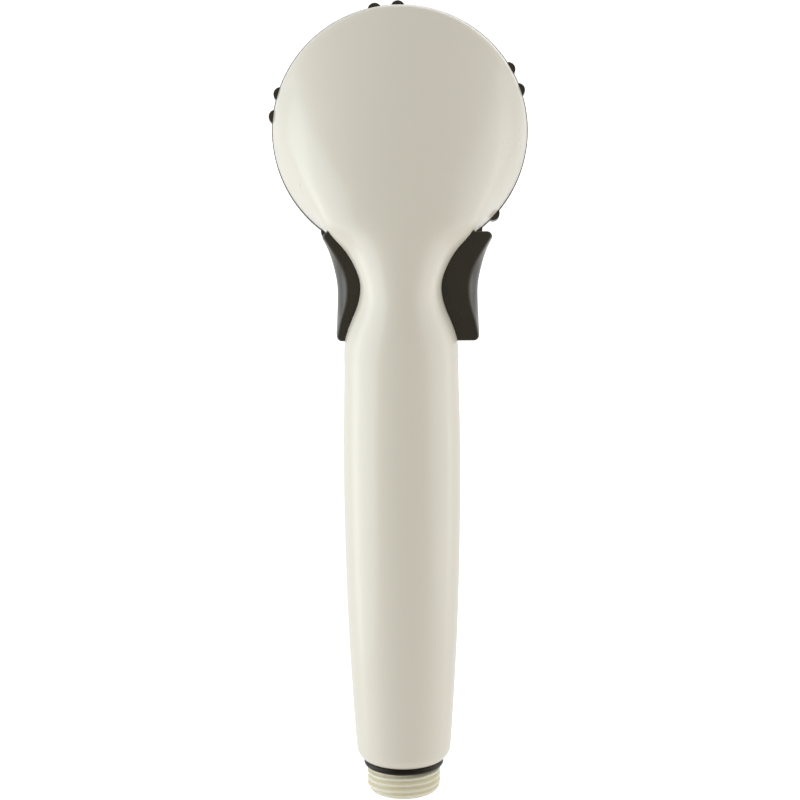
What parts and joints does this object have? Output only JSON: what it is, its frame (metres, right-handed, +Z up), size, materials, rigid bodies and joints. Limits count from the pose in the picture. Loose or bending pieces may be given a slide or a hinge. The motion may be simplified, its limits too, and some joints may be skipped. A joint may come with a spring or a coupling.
{
  "type": "handheld shower head",
  "caption": "Handheld shower head with a tapered one-piece handle, a push-through stop button across its neck, a bayonet face ring with grip pads and a threaded hose spigot.",
  "frame": {"origin": "centre of the spigot's end face, where the hose washer seats", "axes": "+Z up the handle to the head, +Y the side the spray leaves, -Y the smooth back, +X the right-hand side seen from the back"},
  "size_m": [0.074, 0.0656, 0.2222],
  "materials": {
    "cream_body": "gloss",
    "dark_grey_plastic": "satin",
    "grey_plastic": "satin",
    "natural_acetal": "satin",
    "black_rubber": "satin",
    "nozzle_rubber": "matte",
    "stainless_steel": "brushed"
  },
  "bodies": {
    "root": {"body_shell": "cream_body", "neck_front_cover": "cream_body", "inlet_tube": "natural_acetal", "inlet_o_ring": "black_rubber", "inlet_plug_o_rings": "black_rubber", "strainer_frame": "natural_acetal", "strainer_mesh": "stainless_steel", "flow_restrictor": "natural_acetal", "tube_top_o_ring": "black_rubber", "valve_housing": "natural_acetal", "outlet_duct": "natural_acetal", "chamber_pan": "grey_plastic", "pan_screws": "stainless_steel", "pan_gasket": "black_rubber"},
    "stop_button": {"stop_button_left": "dark_grey_plastic", "stop_button_right": "dark_grey_plastic", "valve_spool": "natural_acetal", "spool_o_rings": "black_rubber"},
    "spray_face": {"face_ring": "dark_grey_plastic", "ring_o_ring": "black_rubber", "spray_plate": "grey_plastic", "nozzle_mat": "nozzle_rubber", "distributor_plate": "grey_plastic", "face_screw": "stainless_steel"}
  },
  "joints": [
    {"name": "stop_button_slide", "type": "slide", "parent": "root", "child": "stop_button", "axis": [1, 0, 0], "range_m": [-0.0038, 0]},
    {"name": "face_ring_turn", "type": "hinge", "parent": "root", "child": "spray_face", "pos_m": [0, 0.033, 0.1869], "axis": [0, 0.9397, -0.342], "range_deg": [0, 32]}
  ]
}
